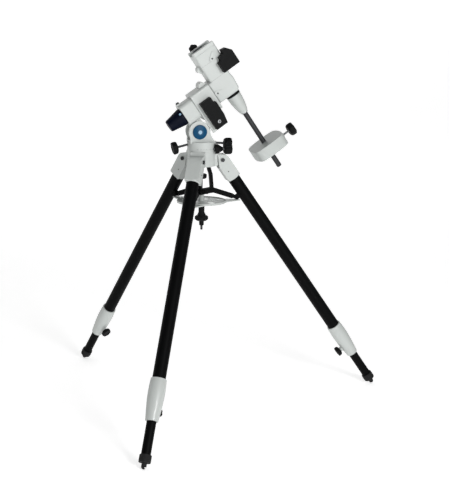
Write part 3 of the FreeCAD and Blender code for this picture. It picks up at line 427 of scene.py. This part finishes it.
def knob(node, joint, lobes):
    """Replaces a hand knob, measured from its CAD mesh: a scalloped, dished grip and its screw."""
    axis = axis_of(joint)
    at = place_of(joint)
    body = NODES[node]["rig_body"]
    # How far each CAD point lies along the joint's axis and away from it.
    reach = []
    for v in NODES[node].data.vertices:
        offset = v.co - at
        t = offset.dot(axis)
        reach.append((t / MM, (offset - axis * t).length / MM))
    top_r = max(r for t, r in reach)
    grip = [t for t, r in reach if r > top_r * 0.6]
    low, high = min(grip), max(grip)
    all_low, all_high = min(t for t, r in reach), max(t for t, r in reach)
    # The screw points down the frame's z, so a knob with its screw on top is turned over.
    if high + 1 < all_high:
        axis, low, high, all_low = -axis, -high, -low, -all_high
    height = high - low
    lip = 0.16 * height
    bm = bmesh.new()
    outline = eased([(0, low), (top_r * 0.76, low), (top_r * 0.96, low + height * 0.22),
                     (top_r, high - lip * 1.2), (top_r * 0.93, high), (top_r * 0.62, high),
                     (top_r * 0.56, high - lip * 0.5), (0, high - lip * 0.5)], top_r * 0.1, 4)
    turn(bm, outline, lobes * POINTS_PER_LOBE, fluted(lobes, top_r, low, high))
    grip_piece = piece(node + ".grip", bm, along_frame(at, axis), body, "black_plastic")
    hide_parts(node)
    if all_low < low - 1:
        shaft_r = max(r for t, r in reach if r < top_r * 0.5 and r > 1)
        bm = bmesh.new()
        turn(bm, thread(shaft_r, all_low, low), 28)
        piece(node + ".screw", bm, along_frame(at, axis), body, "bright_steel")


for side in LEGS:
    knob("leg_clamp_knob_" + side, "clamp_knob_turn_" + side, 7)
knob("azimuth_knob", "azimuth_screw_turn", 8)
knob("latitude_knob_north", "latitude_knob_turn_north", 7)
knob("latitude_knob_south", "latitude_knob_turn_south", 7)
knob("counterweight_knob", "counterweight_knob_turn", 7)
knob("saddle_knob", "saddle_knob_turn", 6)
knob("centre_bolt_knob", "centre_bolt_turn", 6)

# --- castings ----------------------------------------------------------------------------
for node_name, node_obj in NODES.items():
    dress_node(node_name, node_obj)

# --- legs --------------------------------------------------------------------------------
FOOT_TIP = 1079.1
RIBS_ABOVE_TIP = 44
FOOT_RIBS = 5
RIB_PITCH = 4
CLAMP_LIP = 784.6
BRACKET_LIP = 78
STRIP_HALF_WIDTH = 17.45


def leg_details(name):
    """Lips, ribs, screws and cover strip of one leg, in its own frame."""
    place = leg_frame(name)
    leg, lower = "leg_" + name, "lower_leg_" + name

    # Rolled lip round the upper end of the lower clamp.
    bm = bmesh.new()
    lip = [(22.4, CLAMP_LIP), (26.6, CLAMP_LIP), (26.9, CLAMP_LIP + 3.4), (25.8, CLAMP_LIP + 5.9),
           (22.4, CLAMP_LIP + 5.9)]
    turned(bm, eased(lip, 1.4, 4), 56, ALONG_X)
    piece("clamp_lip_" + name, bm, place, leg, "cream_paint")

    # Ribs round the rubber foot.
    bm = bmesh.new()
    for i in range(FOOT_RIBS):
        at = FOOT_TIP - RIBS_ABOVE_TIP + RIB_PITCH * i
        rib = [(19.0, at), (20.3, at + 0.4), (20.3, at + 1.8), (19.0, at + 2.2)]
        turned(bm, eased(rib, 0.4, 3), 48, ALONG_X)
    piece("foot_ribs_" + name, bm, place, lower, "black_rubber")

    # Grub screws in both cheeks of the upper bracket.
    bm = bmesh.new()
    for cheek in (-1, 1):
        socket_screw(bm, 2.0, 1.2, (47, cheek * 24.9, -6), (0, cheek, 0))
    piece("bracket_screws_" + name, bm, place, leg, "dark_steel")

    # Cover strip over the hinge slot.
    bm = bmesh.new()
    strip = [(-8.0, 20.9), (4.0, 24.4), (22.5, 24.4), (22.5, 21.6), (4.5, 21.6), (-6.4, 18.6)]
    near, far = [[bm.verts.new((x, y, z)) for x, z in strip] for y in (-STRIP_HALF_WIDTH, STRIP_HALF_WIDTH)]
    bm.faces.new(near)
    bm.faces.new(reversed(far))
    for i in range(len(strip)):
        j = (i + 1) % len(strip)
        bm.faces.new((near[i], far[i], far[j], near[j]))
    piece("bracket_strip_" + name, bm, place, leg, "cream_paint", bevel=0.3)

    # Lip where the outer tube leaves the bracket.
    bm = bmesh.new()
    lip = [(22.3, BRACKET_LIP), (24.1, BRACKET_LIP), (24.1, BRACKET_LIP + 4.2), (22.3, BRACKET_LIP + 5.2)]
    turned(bm, eased(lip, 0.8, 3), 56, ALONG_X)
    piece("bracket_lip_" + name, bm, place, leg, "cream_paint")


for side in LEGS:
    leg_details(side)

# --- head ----------------------------------------------------------------------------------
CAP_END = -253.0
CAP_START = -190.5
CAP_FLUTES = 24
INLAY_LEAN = math.radians(55)
INLAY_REACH = 30.9
# Near and far faces of the painted shadow lines on the declination casting.
COVER_FACE = -64.0
SHADOW_LINE_LOW = -38.15
SHADOW_LINE_HIGH = -37.8
WEIGHT_MIDDLE = -270.75


def polar_cap_details():
    """Pull-off cap of the polar bore: fluted grip, rounded end and a plain inlaid disc."""
    bm = bmesh.new()
    points = [(0, CAP_END + 1.2), (9, CAP_END + 1.2), (10, CAP_END + 0.2), (19.8, CAP_END + 0.1),
              (21.8, CAP_END + 3), (25.6, CAP_END + 25), (30.0, CAP_END + 49), (31.2, CAP_END + 54),
              (31.2, CAP_START), (0, CAP_START)]

    def grooves(angle, r, h):
        share = (h - CAP_END - 6) / 40
        if r < 20 or share < 0 or share > 1:
            return r
        fade = math.sin(math.pi * share) ** 0.4
        return r - 0.9 * fade * (0.5 - 0.5 * math.cos(CAP_FLUTES * angle)) ** 3

    turn(bm, eased(points, 1.6, 5), CAP_FLUTES * 8, grooves)
    cap = piece("polar_cap_shell", bm, HEAD @ ALONG_X, "polar_cap", "navy_plastic")
    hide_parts("polar_cap")
    bm = bmesh.new()
    turn(bm, eased([(0, 0.45), (3.4, 0.4), (4.2, 0.0), (4.4, -1.2)], 0.5, 4), 40)
    out_y, out_z = -math.sin(INLAY_LEAN), math.cos(INLAY_LEAN)
    spot = facing((-199, INLAY_REACH * out_y, INLAY_REACH * out_z), (-0.1, out_y, out_z))
    piece("polar_cap_inlay", bm, HEAD @ spot, "polar_cap", "blue_light")


def pivot_cap_details():
    """Plain inlaid disc on the near and far latitude caps."""
    low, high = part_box("latitude_pivot_caps")
    middle = (low + high) / 2
    for name, out, face in (("near", -1, low.y), ("far", 1, high.y)):
        place = along_frame(Vector((middle.x, face, middle.z)), Vector((0, out, 0)))
        bm = bmesh.new()
        turn(bm, eased([(0, -0.02), (6.4, -0.02), (7.2, -0.6), (7.4, -1.6)], 0.5, 4), 56)
        piece("pivot_cap_disc_" + name, bm, place, "azimuth_base", "blue_light")


def cover_details():
    """Screws of the two motor covers and the ring of the polar cover's socket."""
    bm = bmesh.new()
    for x, z in ((-119, 4), (-119, -89), (-89, -89)):
        socket_screw(bm, 2.8, 1.2, (x, COVER_FACE + 0.2, z), (0, -1, 0))
    piece("polar_cover_screws", bm, HEAD, "polar_axis_housing", "black_plastic")
    bm = bmesh.new()
    for x, z in ((13, 58), (64, 60), (48, 115)):
        socket_screw(bm, 2.6, 1.2, (x, COVER_FACE + 0.2, z), (0, -1, 0))
    piece("declination_cover_screws", bm, HEAD, "declination_housing", "black_plastic")
    bm = bmesh.new()
    ring = eased([(4.05, 0.2), (4.05, 1.0), (5.8, 1.0), (6.2, -0.4)], 0.5, 4)
    turned(bm, ring, 40, facing((-104, COVER_FACE, -76), (0, -1, 0)))
    piece("polar_socket_ring", bm, HEAD, "polar_axis_housing", "bright_steel")


def circle_details():
    """Rolled rim of the plain setting circle."""
    bm = bmesh.new()
    turn(bm, eased([(26.2, -33.4), (27.0, -33.6), (27.0, -35.2), (26.2, -35.4)], 0.3, 3), 64)
    piece("declination_circle_rim", bm, HEAD, "declination_housing", "dark_steel")


def head_screws():
    """Screws of the saddle, the polar barrel and the worm pads, and the painted shadow in the joint on the
    polar axis.
    """
    bm = bmesh.new()
    for x in (-20, 1):
        socket_screw(bm, 2.9, 2.2, (x, -30, 158.4), (0, 0, 1))
    piece("saddle_screws", bm, HEAD, "saddle", "dark_steel")
    bm = bmesh.new()
    socket_screw(bm, 6.2, 5.0, (-182.5, 0, 46.6), (0, 0, 1))
    piece("polar_barrel_screws", bm, HEAD, "polar_axis_housing", "dark_steel")
    bm = bmesh.new()
    for x, z, lean in ((-50, 2, 24), (0, 112, -38)):
        pad = Matrix.Translation((x, 0, z)) @ Matrix.Rotation(math.radians(lean), 4, "Y")
        socket_screw(bm, 3.0, 1.6, pad @ Vector((0, -40.2, 0)), (0, -1, 0))
    piece("worm_pad_screws", bm, HEAD, "declination_housing", "dark_steel")
    # Narrow dark strip of painted shadow in the joint between the two castings on the polar axis.
    bm = bmesh.new()
    chunk(bm, (-61.6, -37.4, -32), (-60.9, 37.4, 46))
    piece("polar_joint_gap", bm, HEAD, "declination_housing", "gap_shadow_and_marks", bevel=0.2)


def shadow_lines():
    """Thin mid-grey lines of painted shadow across the near side of the declination casting."""
    bm = bmesh.new()
    chunk(bm, (-58, SHADOW_LINE_LOW, 46.7), (24, SHADOW_LINE_HIGH, 47.3))
    chunk(bm, (-48, SHADOW_LINE_LOW, 105.7), (5, SHADOW_LINE_HIGH, 106.2))
    piece("declination_shadow_lines", bm, HEAD, "declination_housing", "painted_shadow_line", bevel=0.1)


def bar_details():
    """Collar of the counterweight bar, and the weight's bushes and knob boss."""
    bm = bmesh.new()
    turn(bm, eased([(9.02, -116.4), (12.8, -116.4), (13.0, -119.8), (9.02, -120.4)], 0.8, 4), 48)
    piece("bar_collar", bm, HEAD, "declination_housing", "bright_steel")
    bm = bmesh.new()
    for z, out in ((-249.5, 1), (-292.0, -1)):
        turn(bm, eased([(9.2, z + 0.1 * out), (9.4, z + 1.2 * out), (11.6, z + 1.2 * out),
                        (12.2, z - 0.4 * out)], 0.5, 3), 56)
    piece("counterweight_bushes", bm, HEAD, "counterweight", "bright_steel")
    bm = bmesh.new()
    boss = eased([(4.1, 0), (8.5, 0), (9.4, -4.4), (9.6, -6)], 0.9, 4)
    turned(bm, boss, 40, facing((74.2, 0, WEIGHT_MIDDLE), (1, 0, 0)))
    piece("counterweight_boss", bm, HEAD, "counterweight", "cream_iron")


polar_cap_details()
pivot_cap_details()
cover_details()
circle_details()
head_screws()
shadow_lines()
bar_details()

# --- azimuth base --------------------------------------------------------------------------
MARKS = 13
MARK_STEP_DEG = 6
FIRST_MARK_DEG = -122
LONG_MARK, SHORT_MARK = 5.0, 3.0


def base_details():
    """Rolled rim of the azimuth base, and plain marks with every third one longer."""
    bm = bmesh.new()
    turn(bm, eased([(51.0, 920.2), (51.9, 920.6), (51.9, 922.2), (51.0, 922.6)], 0.3, 3), 96)
    piece("base_rim", bm, UPRIGHT, "azimuth_base", "cream_paint")
    bm = bmesh.new()
    for i in range(MARKS):
        spin = Matrix.Rotation(math.radians(FIRST_MARK_DEG + MARK_STEP_DEG * i), 4, "Z")
        length = LONG_MARK if i % 3 == 0 else SHORT_MARK
        chunk(bm, (51.3, -0.3, 926), (51.62, 0.3, 926 + length), spin)
    piece("azimuth_marks", bm, UPRIGHT, "azimuth_base", "gap_shadow_and_marks")


base_details()

# --- floor, light and camera ------------------------------------------------------------
FLOOR_GAP = 0.0005
FLOOR_FRONT = -12.0
WALL_Y = 7.0
WALL_TOP = 9.0
HALF_WIDTH = 9.0
SWEEP_RADIUS = 2
SWEEP_STEPS = 12
AIM = (0, 0, 0.9)


def stage():
    """Pale floor that sweeps up into a back wall."""
    low_z = cad_low.z - FLOOR_GAP
    profile = [(FLOOR_FRONT, low_z), (WALL_Y - SWEEP_RADIUS, low_z)]
    for i in range(SWEEP_STEPS + 1):
        a = math.radians(90 * i / SWEEP_STEPS)
        profile.append((WALL_Y - SWEEP_RADIUS + SWEEP_RADIUS * math.sin(a),
                        low_z + SWEEP_RADIUS - SWEEP_RADIUS * math.cos(a)))
    profile.append((WALL_Y, WALL_TOP))
    bm = bmesh.new()
    rows = []
    for y, z in profile:
        rows.append([bm.verts.new((x * HALF_WIDTH, y, z)) for x in (-1, 1)])
    for a, b in zip(rows, rows[1:]):
        bm.faces.new((a[0], a[1], b[1], b[0]))
    mesh = bpy.data.meshes.new("backdrop")
    bm.to_mesh(mesh)
    bm.free()
    mesh.polygons.foreach_set("use_smooth", [True] * len(mesh.polygons))
    floor = bpy.data.objects.new("backdrop", mesh)
    bpy.context.scene.collection.objects.link(floor)
    paper = bpy.data.materials.new("paper")
    paper.use_nodes = True
    shader = paper.node_tree.nodes["Principled BSDF"]
    shader.inputs["Base Color"].default_value = (0.93, 0.93, 0.93, 1)
    shader.inputs["Roughness"].default_value = 0.9
    shader.inputs["Emission Color"].default_value = (1, 1, 1, 1)
    shader.inputs["Emission Strength"].default_value = 0.55
    mesh.materials.append(paper)


def lamp(name, at, size, power):
    """Round soft light, aimed at the mount."""
    data = bpy.data.lights.new(name, "AREA")
    data.shape = "DISK"
    data.size = size
    data.energy = power
    obj = bpy.data.objects.new(name, data)
    obj.location = at
    obj.rotation_mode = "QUATERNION"
    obj.rotation_quaternion = (Vector(AIM) - Vector(at)).to_track_quat("-Z", "Y")
    bpy.context.scene.collection.objects.link(obj)


stage()
world = bpy.data.worlds.new("studio")
bpy.context.scene.world = world
world.use_nodes = True
world.node_tree.nodes["Background"].inputs["Color"].default_value = (1, 1, 1, 1)
world.node_tree.nodes["Background"].inputs["Strength"].default_value = 0.22
lamp("key", (0.9, -4.3, 1.9), 1.4, 112)
lamp("fill", (-2.2, -4.0, 1.2), 2.0, 24)
bpy.context.scene.view_settings.view_transform = "Standard"

RIGHT = Vector((0.961625, -0.274267, 0.007432))
CAM_UP = Vector((0.052194, 0.209458, 0.976424))
FORWARD = Vector((0.269357, 0.938565, -0.215735))
SENSOR_MM = 36.0
# Focal length as a multiple of the frame's longer side.
FOCAL_RATIO = 2.240815
camera_data = bpy.data.cameras.new("camera")
camera_data.sensor_fit = "AUTO"
camera_data.sensor_width = SENSOR_MM
camera_data.lens = FOCAL_RATIO * SENSOR_MM
camera = bpy.data.objects.new("camera", camera_data)
camera.location = (-1.18334, -3.83534, 1.43069)
camera.rotation_mode = "QUATERNION"
camera.rotation_quaternion = Matrix((RIGHT, CAM_UP, -FORWARD)).transposed().to_quaternion()
bpy.context.scene.collection.objects.link(camera)
bpy.context.scene.camera = camera
